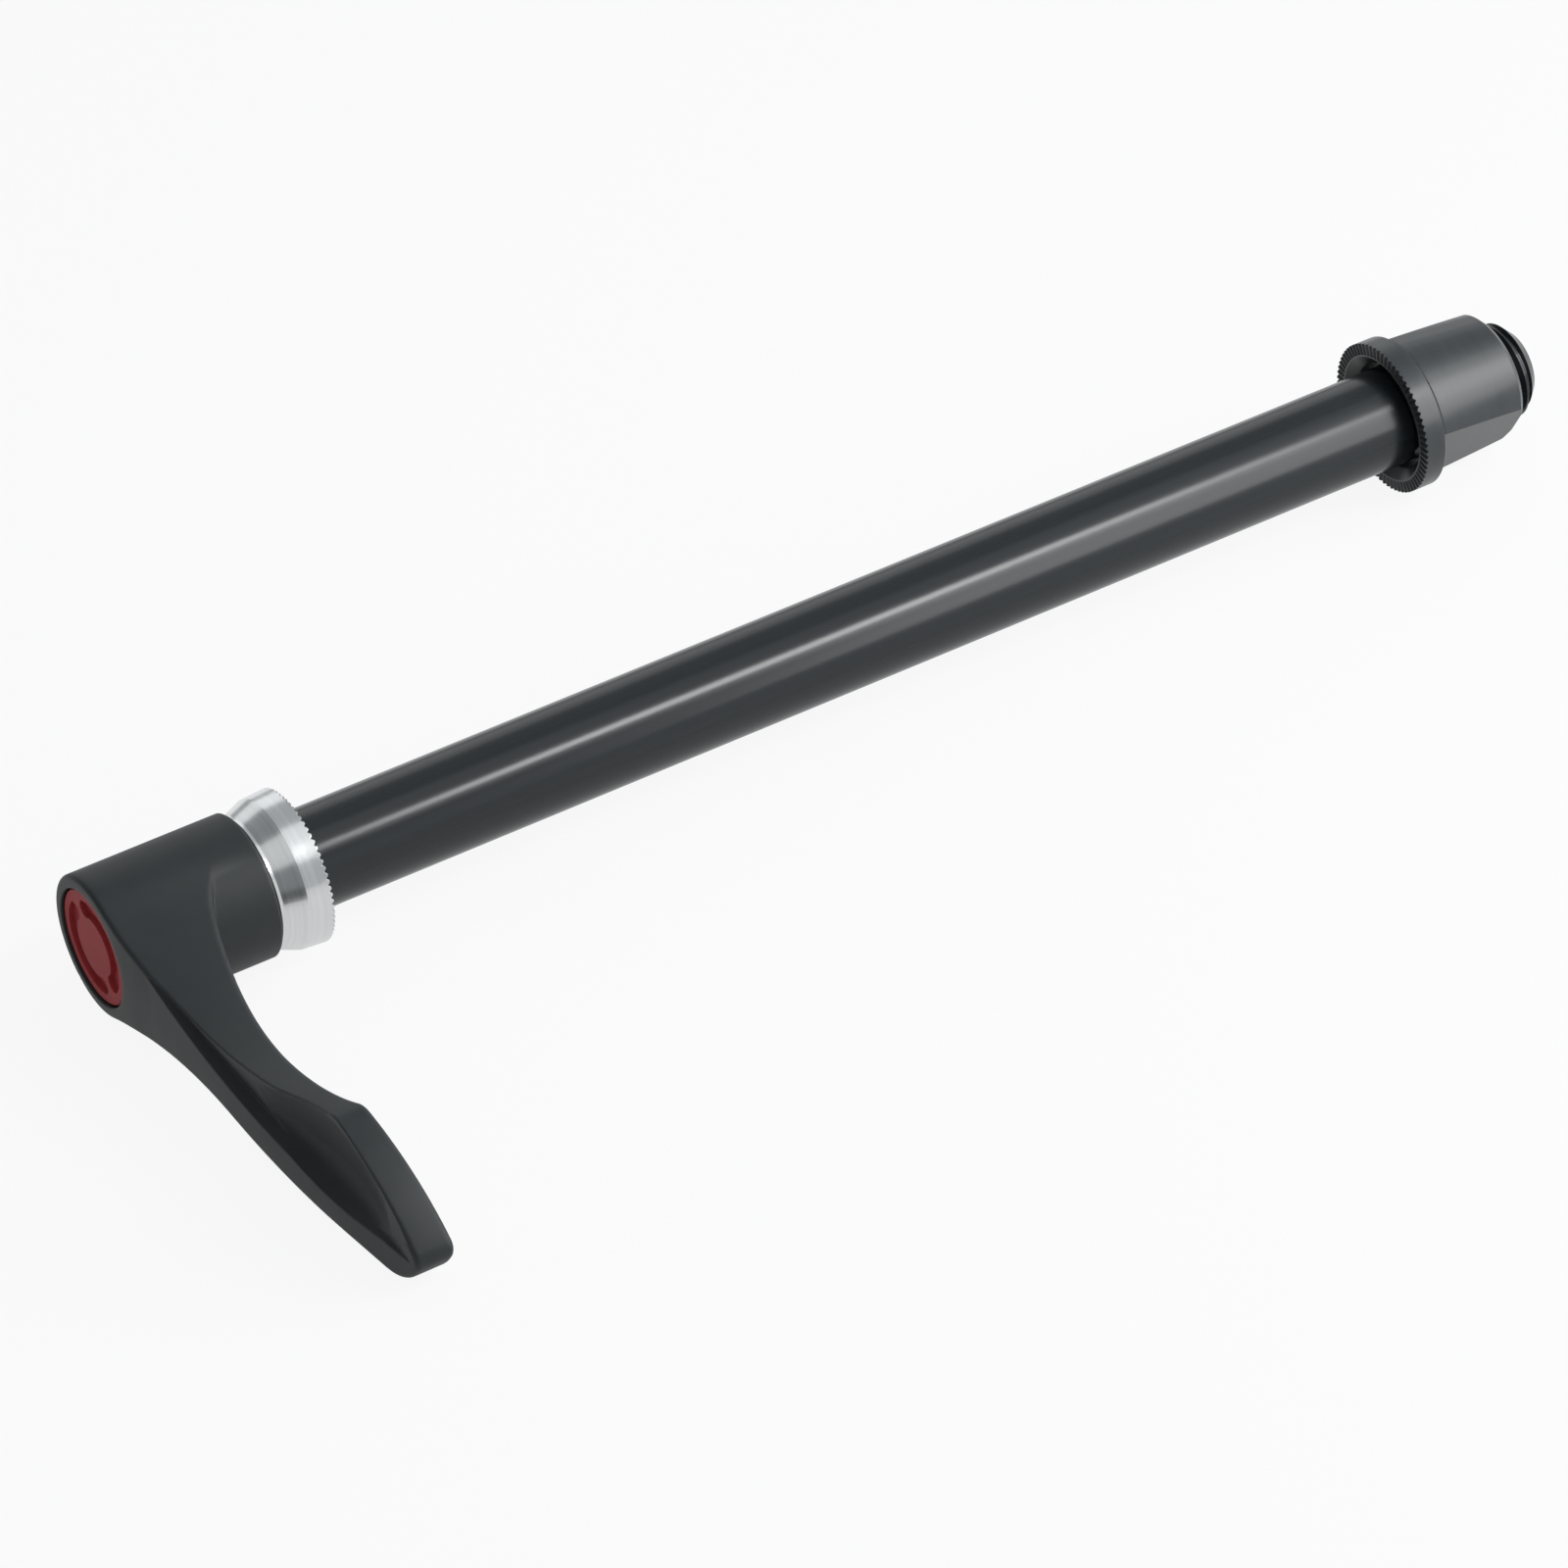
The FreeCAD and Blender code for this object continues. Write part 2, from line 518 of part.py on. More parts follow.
def pocket_cut(body):
    """Finger pocket: a short lower wall down to a crease, and a long wall from there to the ridge."""
    top = "Sizes.barrel_diameter"
    start = f"- {PAST} * Sizes.wall_slope"
    sections = []
    for count in range(1, len(POCKET) + 1):
        out, border, crease, ridge, setback = [f"Sizes.pocket{count}_{name}" for name in POCKET_NAMES]
        face = leaning_face(out)
        crease_height = f"({border} + {crease} * Sizes.wall_slope)"
        fall = f"(({crease} - {setback}) / ({ridge} - {crease_height}))"
        sketch = new_sketch(body, f"pocket_section_{count}", "XZ_Plane", out)
        outline(sketch, [
            (f"{face} - {PAST}", f"{border} {start}"),
            (f"{face} + {crease}", crease_height),
            (f"{face} + {setback} - {fall} * ({top} - {ridge})", top),
            (f"{face} - 2 * {PAST}", top), (f"{face} - 2 * {PAST}", f"{border} {start}"),
        ])
        sections.append(sketch)
    return lofted(body, "finger_pocket", sections)


def scoop_cut(body):
    """Smooth hollow in the middle of the pocket: one arc from its border down to the deepest place
    and a longer one from there up to the ridge."""
    sections = []
    for count in range(1, len(SCOOP) + 1):
        out, border, middle, depth, top, top_depth = [f"Sizes.scoop{count}_{name}" for name in SCOOP_NAMES]
        face = leaning_face(out)
        lower = f"(({middle} - {border}) ^ 2 + {depth} ^ 2) / (2 * {depth})"
        rise = f"({depth} - {top_depth})"
        upper = f"(({top} - {middle}) ^ 2 + {rise} ^ 2) / (2 * {rise})"
        sketch = new_sketch(body, f"scoop_section_{count}", "XZ_Plane", out)
        outline(sketch, [
            (face, border), (f"{face} + {depth}", middle), (f"{face} + {top_depth}", top),
            (f"{face} - {PAST}", f"{top} + {PAST}"), (f"{face} - {PAST}", border),
        ], arcs={0: (lower, 1), 1: (upper, 1)})
        sections.append(sketch)
    return lofted(body, "scoop", sections)


def lever():
    """Lever: barrel with the splined web and the spring's room, and the arm with its finger pocket."""
    body = new_body("lever")
    side = new_sketch(body, "arm_side_profile", "YZ_Plane", BARREL_END)
    arm_side(side)
    arm = extruded(body, "arm", side, "Sizes.arm_root")
    corner_out = number(CORNER)
    corner = edges_where(arm, lambda e: len(e.Vertexes) == 2 and e.BoundBox.XLength > 10
                         and abs(e.BoundBox.YMin + corner_out) < 0.01 and e.BoundBox.ZMin > 0)
    rounded(body, "corner", arm, corner, "Sizes.corner_round")
    inner = new_sketch(body, "inner_face_profile", "XY_Plane", "-20")
    inner_cut(inner)
    extruded(body, "inner_face", inner, "40", "Pocket", flip=True)
    outer = new_sketch(body, "outer_face_profile", "XY_Plane", "-20")
    outer_cut(outer)
    leaned = extruded(body, "outer_face", outer, "40", "Pocket", flip=True)
    sole, middle = number("Sizes.sole_height"), number(f"{BARREL_END} + Sizes.thin_depth")

    def on_sole(edge):
        return edge.BoundBox.ZMax < sole + 0.01 and edge.BoundBox.YLength > 5

    inside = edges_where(leaned, lambda e: on_sole(e) and e.BoundBox.XMax > middle)
    inner_edge = rounded(body, "inner_edge", leaned, inside, "Sizes.edge_round")
    outside = edges_where(inner_edge, lambda e: on_sole(e) and e.BoundBox.XMax < middle)
    rounded(body, "outer_edge", inner_edge, outside, "Sizes.outer_round")
    outer_rim, bore = "Sizes.barrel_diameter / 2", "(Sizes.cap_diameter / 2 + Sizes.cap_clearance)"
    barrel_start = f"{BARREL_END} + 2 * Sizes.edge_round"
    turned(body, "barrel", [
        (barrel_start, "0"), (barrel_start, outer_rim),
        (f"{BARREL_FACE} - Sizes.fine_chamfer", outer_rim),
        (BARREL_FACE, f"{outer_rim} - Sizes.fine_chamfer"), (BARREL_FACE, "0"),
    ])
    room = "(Sizes.coil_diameter / 2 + Sizes.wire_diameter / 2 + Sizes.spring_clearance)"
    cap_room = f"({CAP_BACK} + Sizes.lever_lift + Sizes.head_clearance)"
    web = "(Sizes.spline_root / 2 + Sizes.spline_clearance)"
    head = "(Sizes.head_diameter / 2 + Sizes.head_clearance)"
    turned(body, "barrel_bores", [
        (f"{BARREL_END} - {PAST}", "0"), (f"{BARREL_END} - {PAST}", bore), (cap_room, bore), (cap_room, room),
        (WEB_END, room), (WEB_END, web), (HEAD_BACK, web), (HEAD_BACK, head),
        (f"{BARREL_FACE} + {PAST}", head), (f"{BARREL_FACE} + {PAST}", "0"),
    ], kind="Groove")
    groove = new_sketch(body, "lever_groove_profile", "YZ_Plane", WEB_END)
    foot = "(Sizes.spline_tooth / 2 + Sizes.spline_clearance)"
    top = "(Sizes.spline_tooth * 0.3 + Sizes.spline_clearance)"
    reach = "Sizes.spline_tip / 2 + Sizes.spline_clearance"
    outline(groove, [
        (f"-{foot}", "Sizes.spline_root / 2 - 0.2"), (foot, "Sizes.spline_root / 2 - 0.2"),
        (top, reach), (f"-{top}", reach),
    ])
    slot = extruded(body, "lever_groove", groove, "Sizes.web_width", "Pocket", flip=True)
    around_axis(body, "lever_spline", slot, "Sizes.spline_teeth")
    pocket_cut(body)
    scoop_cut(body)
    return body


def lever_cap():
    """Round cap screwed on the stem: two slots for a pin wrench in its face, a boss behind it."""
    body = new_body("lever_cap")
    rim, boss = "Sizes.cap_diameter / 2", "Sizes.cap_boss / 2"
    hole = "(Sizes.stem_diameter / 2 + Sizes.stem_play)"
    boss_end = f"({CAP_BACK} + Sizes.boss_length)"
    turned(body, "cap_turned", [
        (CAP_FACE, "0"), (CAP_FACE, f"{rim} - Sizes.fine_chamfer"),
        (f"{CAP_FACE} + Sizes.fine_chamfer", rim), (CAP_BACK, rim),
        (CAP_BACK, boss), (boss_end, boss), (boss_end, hole), (STEM_HOLE, hole), (STEM_HOLE, "0"),
    ])
    cap_slots(body)
    return body


def cap_slots(body):
    """Two curved slots with widened ends."""
    point = FreeCAD.Vector
    middle = math.radians(number("Sizes.slot_turn + 90"))
    half = math.radians(number("Sizes.slot_sweep / 2"))
    outer = "(Sizes.slot_circle / 2 + Sizes.slot_width / 2)"
    inner = "(Sizes.slot_circle / 2 - Sizes.slot_width / 2)"
    first, last = middle - half, middle + half

    def spot(radius, angle):
        return point(radius * math.cos(angle), radius * math.sin(angle), 0)

    sketch = new_sketch(body, "slot_profile", "YZ_Plane", CAP_FACE)
    out, into = number(outer), number(inner)
    edges = [
        arc_between(sketch, point(0, 0, 0), spot(out, first), spot(out, last), 1),
        line_between(sketch, spot(out, last), spot(into, last)),
        arc_between(sketch, point(0, 0, 0), spot(into, last), spot(into, first), -1),
        line_between(sketch, spot(into, first), spot(out, first)),
    ]
    for edge, following in zip(edges, edges[1:] + edges[:1]):
        join(sketch, edge, following)
    for edge, radius in ((edges[0], outer), (edges[2], inner)):
        sketch.addConstraint(Sketcher.Constraint("Coincident", edge[0], 3, -1, 1))
        size_arc(sketch, edge[0], radius)
    for edge, angle in ((edges[1], "+"), (edges[3], "-")):
        turn = f"(Sizes.slot_turn + 90 {angle} Sizes.slot_sweep / 2)"
        vertex = edge[1] if angle == "+" else edge[2]
        place(sketch, "DistanceX", edge[0], vertex, f"{outer} * cos({turn})")
        inward = edge[2] if angle == "+" else edge[1]
        place(sketch, "DistanceX", edge[0], inward, f"{inner} * cos({turn})")
    doc.recompute()
    slot = extruded(body, "slot", sketch, "Sizes.slot_depth", "Pocket", flip=True)
    ends = new_sketch(body, "slot_end_profile", "YZ_Plane", CAP_FACE)
    centre_radius = f"({outer} - Sizes.slot_end / 2)"
    for sign in ("-", "+"):
        turn = f"(Sizes.slot_turn + 90 {sign} Sizes.slot_sweep / 2)"
        across, along = f"{centre_radius} * cos({turn})", f"{centre_radius} * sin({turn})"
        circle = Part.Circle(point(number(across), number(along), 0), point(0, 0, 1),
                             number("Sizes.slot_end / 2"))
        geo = ends.addGeometry(circle)
        hold(ends, geo, 3, across, along)
        size_arc(ends, geo, "Sizes.slot_end / 2")
    doc.recompute()
    holes = extruded(body, "slot_ends", ends, "Sizes.slot_depth", "Pocket", flip=True)
    pattern = body.newObject("PartDesign::PolarPattern", "slot_pair")
    pattern.Originals = [slot, holes]
    pattern.Axis = (datum(body, "X_Axis"), [""])
    pattern.Angle = 360
    pattern.Occurrences = 2
    body.Tip = pattern
    doc.recompute()


def lever_spring():
    """Coil spring between the cap and the lever's web."""
    body = new_body("lever_spring")
    wire = "Sizes.wire_diameter / 2"
    start = f"({CAP_BACK} + Sizes.spring_gap + {wire})"
    length = f"({WEB_END} - {CAP_BACK} - 2 * Sizes.spring_gap - Sizes.wire_diameter)"
    sketch = new_sketch(body, "wire_profile", "XZ_Plane")
    circle = Part.Circle(FreeCAD.Vector(number(start), number("Sizes.coil_diameter / 2"), 0),
                         FreeCAD.Vector(0, 0, 1), number(wire))
    geo = sketch.addGeometry(circle)
    hold(sketch, geo, 3, start, "Sizes.coil_diameter / 2")
    size_arc(sketch, geo, wire)
    coil = body.newObject("PartDesign::AdditiveHelix", "coil")
    coil.Profile = sketch
    coil.ReferenceAxis = (sketch, ["H_Axis"])
    coil.Mode = "height-turns-angle"
    coil.setExpression("Height", length)
    coil.setExpression("Turns", "Sizes.coil_turns")
    doc.recompute()
    return body


def axle_nut():
    """End nut: knurled flange, tapered body with two flats, countersunk and recessed face."""
    body = new_body("axle_nut")
    bore = "(Sizes.shank_diameter / 2 + Sizes.thread_clearance)"
    flange, root, end = "Sizes.flange_diameter / 2", "Sizes.nut_root / 2", "Sizes.nut_end / 2"
    back = f"({NUT_FACE} + Sizes.flange_width)"
    tail = f"({NUT_FACE} + Sizes.nut_length)"
    mouth, recess = "Sizes.nut_mouth / 2", "Sizes.nut_recess / 2"
    turned(body, "nut_turned", [
        (NUT_FACE, mouth), (NUT_FACE, flange),
        (f"{back} - Sizes.small_chamfer", flange), (back, f"{flange} - Sizes.small_chamfer"),
        (back, root), (f"{tail} - Sizes.nut_round", end), (tail, f"{end} - Sizes.nut_round"),
        (tail, f"{bore} + Sizes.bore_chamfer"), (f"{tail} - Sizes.bore_chamfer", bore),
        (f"{NUT_FACE} + Sizes.recess_depth", bore),
        (f"{NUT_FACE} + Sizes.recess_depth", recess), (f"{NUT_FACE} + Sizes.mouth_depth", recess),
    ])
    sketch = new_sketch(body, "flat_profile", "YZ_Plane", back)
    near, far, half = "(Sizes.across_flats / 2)", "Sizes.flange_diameter", "Sizes.flange_diameter"
    down, aside = "cos(Sizes.flat_turn)", "sin(Sizes.flat_turn)"

    def corner(away, along):
        return f"-{down} * {away} + {aside} * {along}", f"-{aside} * {away} - {down} * {along}"

    outline(sketch, [
        corner(near, half), corner(far, half), corner(far, f"-{half}"), corner(near, f"-{half}"),
    ])
    flat = extruded(body, "flat", sketch, "Sizes.nut_length", "Pocket", flip=True)
    around_axis(body, "flats", flat, "2")
    knurl(body, NUT_FACE, "Sizes.flange_diameter", "Sizes.nut_reach", "1")
    return body


makers = (axle_shaft, thrust_washer, lever_cap, lever_spring, lever, clamp_washer, washer_ring, axle_nut)
parts = [make() for make in makers]
doc.recompute()
for item in doc.Objects:
    if "Invalid" in item.State or "Error" in item.State:
        raise RuntimeError(f"{item.Label} did not build: {item.State}")
for part in parts:
    shape = part.Shape
    if shape.isNull() or not shape.isValid() or not shape.Solids:
        raise RuntimeError(f"{part.Label} has no valid solid")
    print(part.Label, "volume", round(shape.Volume, 1), "solids", len(shape.Solids))
os.makedirs("parts", exist_ok=True)
for part in parts:
    part.Shape.exportStep(f"parts/{part.Label}.step")
print("written", len(parts), "sub-parts")
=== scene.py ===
# %% [markdown]
# A bicycle thru axle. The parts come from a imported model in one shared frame: +X runs along the
# shaft, +Z is up, and the origin lies in the clamp face of the washer. This lesson gives each part
# its finish, models the screw thread that the plain solids leave out, and lights the whole part.
import json
import math

import bpy
from mathutils import Matrix, Vector


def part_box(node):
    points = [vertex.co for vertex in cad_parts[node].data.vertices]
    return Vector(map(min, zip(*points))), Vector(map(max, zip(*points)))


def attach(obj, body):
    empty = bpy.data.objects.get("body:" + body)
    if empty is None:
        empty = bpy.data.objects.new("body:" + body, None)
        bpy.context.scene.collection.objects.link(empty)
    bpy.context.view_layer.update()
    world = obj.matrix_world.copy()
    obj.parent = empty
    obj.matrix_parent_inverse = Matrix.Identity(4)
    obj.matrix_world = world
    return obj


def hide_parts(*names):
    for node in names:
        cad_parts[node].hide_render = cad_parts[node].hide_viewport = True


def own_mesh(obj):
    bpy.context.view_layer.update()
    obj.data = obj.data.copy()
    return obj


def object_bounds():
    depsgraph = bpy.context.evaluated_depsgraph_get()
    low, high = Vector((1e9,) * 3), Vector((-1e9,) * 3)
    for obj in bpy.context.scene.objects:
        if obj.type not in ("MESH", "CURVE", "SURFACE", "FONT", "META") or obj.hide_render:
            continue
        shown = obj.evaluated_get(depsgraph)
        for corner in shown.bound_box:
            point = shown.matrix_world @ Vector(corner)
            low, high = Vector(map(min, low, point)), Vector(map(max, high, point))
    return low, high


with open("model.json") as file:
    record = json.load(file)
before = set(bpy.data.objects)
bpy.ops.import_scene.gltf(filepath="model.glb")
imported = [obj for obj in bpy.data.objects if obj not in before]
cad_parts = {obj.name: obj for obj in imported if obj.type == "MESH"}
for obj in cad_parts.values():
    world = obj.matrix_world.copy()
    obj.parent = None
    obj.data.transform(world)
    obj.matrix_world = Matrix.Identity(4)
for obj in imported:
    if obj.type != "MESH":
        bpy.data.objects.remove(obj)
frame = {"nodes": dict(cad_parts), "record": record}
nodes = frame["nodes"]
cad_box = [list(corner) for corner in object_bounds()]
print("parts:", ", ".join(sorted(nodes)))

# %% [markdown]
# The camera comes first, because every finish is judged through it. It stands far off with a long
# lens, so the shaft keeps nearly the same thickness from end to end. Its place and its three axes
# are written as one matrix, which leaves nothing to guess about its tilt.

# %% camera
FOCAL_SHARE = 8860.56 / 1600
camera_data = bpy.data.cameras.new("camera")
camera_data.sensor_width = 36
camera_data.lens = FOCAL_SHARE * camera_data.sensor_width
camera_data.clip_start = 0.05
camera_data.clip_end = 20
camera = bpy.data.objects.new("camera", camera_data)
camera_right = Vector((0.85198, -0.51684, -0.08371))
camera_up = Vector((0.35531, 0.45331, 0.81747))
camera_back = Vector((-0.38456, -0.72622, 0.56985))
turn = Matrix((camera_right, camera_up, camera_back)).transposed().to_4x4()
camera.matrix_world = Matrix.Translation((-0.326811, -0.736631, 0.561715)) @ turn
bpy.context.scene.collection.objects.link(camera)
bpy.context.scene.camera = camera
bpy.context.scene.view_settings.view_transform = "Standard"
print("camera: lens", round(camera_data.lens, 2), "mm")

# %% [markdown]
# These helpers serve all the modelling. One leaves a single object selected and active, which most
# operators need. One takes a cutter out of a piece by a Boolean. One makes a merged copy of a
# solid, because a solid's own mesh is loose triangles and is never changed. One cuts such a copy
# off at a plane across the axis, and one joins what is left of it to a new form. Smooth shading
# stops at edges sharper than an angle, so cylinders look round and corners stay crisp.

# %% helpers for shapes
MERGE_GAP = 1e-6
SMOOTH_ANGLE = math.radians(25)


def only(item):
    bpy.ops.object.select_all(action="DESELECT")
    item.select_set(True)
    bpy.context.view_layer.objects.active = item


def cut_away(item, cutter):
    only(item)
    cut = item.modifiers.new("cut", "BOOLEAN")
    cut.operation = "DIFFERENCE"
    cut.solver = "EXACT"
    cut.object = cutter
    bpy.ops.object.modifier_apply(modifier=cut.name)
    bpy.data.objects.remove(cutter)


def merged_copy(node, name):
    part = bpy.data.objects.new(name, nodes[node].data.copy())
    bpy.context.scene.collection.objects.link(part)
    only(part)
    bpy.ops.mesh.customdata_custom_splitnormals_clear()
    bpy.ops.object.mode_set(mode="EDIT")
    bpy.ops.mesh.select_all(action="SELECT")
    bpy.ops.mesh.remove_doubles(threshold=MERGE_GAP)
    bpy.ops.mesh.select_all(action="DESELECT")
    bpy.ops.object.mode_set(mode="OBJECT")
    return part


def cut_off(part, plane_x, keep_left):
    only(part)
    bpy.ops.object.mode_set(mode="EDIT")
    bpy.ops.mesh.select_all(action="SELECT")
    bpy.ops.mesh.bisect(plane_co=(plane_x, 0, 0), plane_no=(1, 0, 0), use_fill=True,
                        clear_outer=keep_left, clear_inner=not keep_left)
    bpy.ops.object.mode_set(mode="OBJECT")


def join_selected_to(part):
    part.select_set(True)
    bpy.context.view_layer.objects.active = part
    bpy.ops.object.join()
    bpy.ops.object.shade_smooth_by_angle(angle=SMOOTH_ANGLE)


print("shape helpers ready")

# %% [markdown]
# Round pieces are made as on a lathe. One vertex is extruded from corner to corner of the outline,
# and the line is then spun round the axis. The spin ends where it began, so its doubled points are
# merged and the faces are made to look outwards.

# %% helpers for turning
def drawn_line(name, corners):
    """A mesh line in the XZ plane, left in edit mode; corners are its points as (x, z)."""
    bpy.ops.object.select_all(action="DESELECT")
    bpy.ops.mesh.primitive_plane_add(size=0.001)
    line = bpy.context.object
    line.name = name
    bpy.ops.object.mode_set(mode="EDIT")
    bpy.ops.mesh.select_all(action="SELECT")
    bpy.ops.mesh.merge(type="CENTER")
    places = [Vector((x, 0, z)) for x, z in corners]
    bpy.ops.transform.translate(value=places[0])
    for here, there in zip(places, places[1:]):
        bpy.ops.mesh.extrude_region_move(TRANSFORM_OT_translate={"value": there - here})
    bpy.ops.mesh.select_all(action="SELECT")
    return line


def turned(name, steps, corners):
    """A closed round body; corners are the points of its outline from axis to axis."""
    body = drawn_line(name, corners)
    bpy.ops.mesh.spin(steps=steps, angle=math.tau, center=(0, 0, 0), axis=(1, 0, 0))
    bpy.ops.mesh.select_all(action="SELECT")
    bpy.ops.mesh.remove_doubles(threshold=MERGE_GAP)
    bpy.ops.mesh.normals_make_consistent(inside=False)
    bpy.ops.object.mode_set(mode="OBJECT")
    return body


print("turning helpers ready")

# %% [markdown]
# On the real shaft the last 19 mm carry an M12 x 1.5 thread, and the solids leave it plain. So the
# shank is turned again here, drilled from its tip. 128 steps keep the long black cylinder's mirror
# image smooth.

# %% shank
SHANK = next(mount for mount in frame["record"]["mounts"] if mount["name"] == "shank")
SHANK_RADIUS = SHANK["dims"]["r_mm"] / 1000
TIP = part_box("axle_shaft")[1].x
TIP_CHAMFER = 0.0017
THREAD_START = TIP - 0.019
DRILL_RADIUS = 0.003
DRILL_END = 0.020
DRILL_POINT = math.radians(31)
JOINT = -0.003
shank = turned("threaded_shaft", 128, [
    (JOINT, 0), (JOINT, SHANK_RADIUS), (THREAD_START, SHANK_RADIUS),
    (TIP - TIP_CHAMFER, SHANK_RADIUS), (TIP, SHANK_RADIUS - TIP_CHAMFER), (TIP, DRILL_RADIUS),
    (DRILL_END, DRILL_RADIUS), (DRILL_END - DRILL_RADIUS * math.tan(DRILL_POINT), 0),
])
print("shank:", len(shank.data.polygons), "faces")

# %% [markdown]
# A thread is one V groove with a narrow flat floor, wound round the shank. The Screw modifier winds
# the groove's section into a long cutter, one turn for each pitch, and its open ends are filled.

# %% thread cutter
PITCH = 0.0015
THREAD_DEPTH = 0.00092
PROUD = 0.00015
FLOOR_HALF = 0.0001
MOUTH_HALF = FLOOR_HALF + (THREAD_DEPTH + PROUD) * math.tan(math.radians(30))
GROOVE = THREAD_START + MOUTH_HALF
cutter = drawn_line("thread_cutter", [
    (GROOVE - MOUTH_HALF, SHANK_RADIUS + PROUD), (GROOVE - FLOOR_HALF, SHANK_RADIUS - THREAD_DEPTH),
    (GROOVE + FLOOR_HALF, SHANK_RADIUS - THREAD_DEPTH), (GROOVE + MOUTH_HALF, SHANK_RADIUS + PROUD),
])
bpy.ops.mesh.edge_face_add()
bpy.ops.object.mode_set(mode="OBJECT")
wind = cutter.modifiers.new("wind", "SCREW")
wind.axis = "X"
wind.angle = math.tau
wind.screw_offset = PITCH
wind.iterations = math.ceil((TIP - THREAD_START) / PITCH) + 1
wind.steps = wind.render_steps = 96
bpy.ops.object.modifier_apply(modifier=wind.name)
bpy.ops.object.mode_set(mode="EDIT")
bpy.ops.mesh.select_all(action="SELECT")
bpy.ops.mesh.fill_holes(sides=4)
bpy.ops.mesh.select_all(action="SELECT")
bpy.ops.mesh.normals_make_consistent(inside=False)
bpy.ops.mesh.select_all(action="DESELECT")
bpy.ops.object.mode_set(mode="OBJECT")
print("cutter:", len(cutter.data.polygons), "faces")

# %% [markdown]
# Behind a real die the groove fades out. So the points of the cutter's first end are picked by
# their place and pulled out of the metal, and proportional editing draws their neighbours along.

# %% thread run-out
RUN_OUT = 0.003
for vertex in cutter.data.vertices:
    place = vertex.co
    before_groove = place.x < GROOVE + MOUTH_HALF + MERGE_GAP
    vertex.select = abs(place.y) < MERGE_GAP and place.z > 0 and before_groove
bpy.ops.object.mode_set(mode="EDIT")
bpy.ops.transform.translate(
    value=(0, 0, THREAD_DEPTH + PROUD), use_proportional_edit=True, proportional_size=RUN_OUT,
    proportional_edit_falloff="SMOOTH", use_proportional_connected=True)
bpy.ops.object.mode_set(mode="OBJECT")
print("cutter's first end lifted by", round((THREAD_DEPTH + PROUD) * 1000, 2), "mm")

# %% [markdown]
# A Boolean takes the cutter's groove out of the shank. The other end of the shaft, with the head,
# the splines and the stem inside the lever, is good as it is: a copy of the solid is cut off in
# the washer, where nobody sees the joint, and joined to the shank.

# %% threaded shaft
cut_away(shank, cutter)
splined_end = merged_copy("axle_shaft", "splined_end")
cut_off(splined_end, JOINT, keep_left=True)
join_selected_to(shank)
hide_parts("axle_shaft")
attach(shank, "axle")
print("threaded shaft:", len(shank.data.polygons), "faces")

# %% [markdown]
# The cap is a round plate on a threaded boss. The plate is turned like the shank, with a small
# chamfer round its face.

# %% cap plate
CAP_RADIUS = 0.0071
CAP_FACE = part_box("lever_cap")[0].x - 0.0002
CAP_PLANE = CAP_FACE + 0.0020
CAP_CHAMFER = 0.0002
plate = turned("slotted_cap", 96, [
    (CAP_PLANE, 0), (CAP_PLANE, CAP_RADIUS), (CAP_FACE + CAP_CHAMFER, CAP_RADIUS),
    (CAP_FACE, CAP_RADIUS - CAP_CHAMFER), (CAP_FACE, 0),
])
print("cap plate:", len(plate.data.polygons), "faces")

# %% [markdown]
# Two curved slots in the cap's face take the pins of a wrench. Each is cut by a bar with a square
# section that is spun part of the way round, and by a drill at each end, where the real slots
# widen inwards. The spun bar's place is measured, and the bar is turned from there to its slot.

# %% slots
SLOT_RADIUS = 0.0049
SLOT_WIDTH = 0.0020
SLOT_FLOOR = CAP_FACE + 0.0007
SLOT_SWEEP = math.radians(140)
BRIDGE_TURN = math.radians(57.5)
DRILL_HALF = 0.0011
OVERHANG = 0.001
INNER, OUTER = SLOT_RADIUS - SLOT_WIDTH / 2, SLOT_RADIUS + SLOT_WIDTH / 2


def slot_bar(middle):
    """The bar that cuts one slot, with the slot's middle at the angle middle."""
    bar = drawn_line("slot_bar", [
        (CAP_FACE - OVERHANG, INNER), (CAP_FACE - OVERHANG, OUTER),
        (SLOT_FLOOR, OUTER), (SLOT_FLOOR, INNER)])
    bpy.ops.mesh.edge_face_add()
    bpy.ops.mesh.select_all(action="SELECT")
    bpy.ops.mesh.delete(type="ONLY_FACE")
    bpy.ops.mesh.select_all(action="SELECT")
    bpy.ops.mesh.spin(steps=40, angle=SLOT_SWEEP, center=(0, 0, 0), axis=(1, 0, 0))
    bpy.ops.mesh.select_all(action="SELECT")
    bpy.ops.mesh.fill_holes(sides=4)
    bpy.ops.mesh.select_all(action="SELECT")
    bpy.ops.mesh.normals_make_consistent(inside=False)
    bpy.ops.object.mode_set(mode="OBJECT")
    outward = sum((Vector((0, v.co.y, v.co.z)) for v in bar.data.vertices), Vector())
    found = math.atan2(outward.z, outward.y)
    bar.data.transform(Matrix.Rotation(middle - found, 4, "X"))
    return bar


def end_drill(angle):
    """The drill that widens a slot's end at an angle."""
    radius = SLOT_RADIUS - (DRILL_HALF - SLOT_WIDTH / 2)
    bpy.ops.object.select_all(action="DESELECT")
    bpy.ops.mesh.primitive_cylinder_add(
        vertices=32, radius=DRILL_HALF, depth=SLOT_FLOOR - CAP_FACE + OVERHANG,
        location=((CAP_FACE - OVERHANG + SLOT_FLOOR) / 2,
                  radius * math.cos(angle), radius * math.sin(angle)),
        rotation=(0, math.pi / 2, 0))
    return bpy.context.object


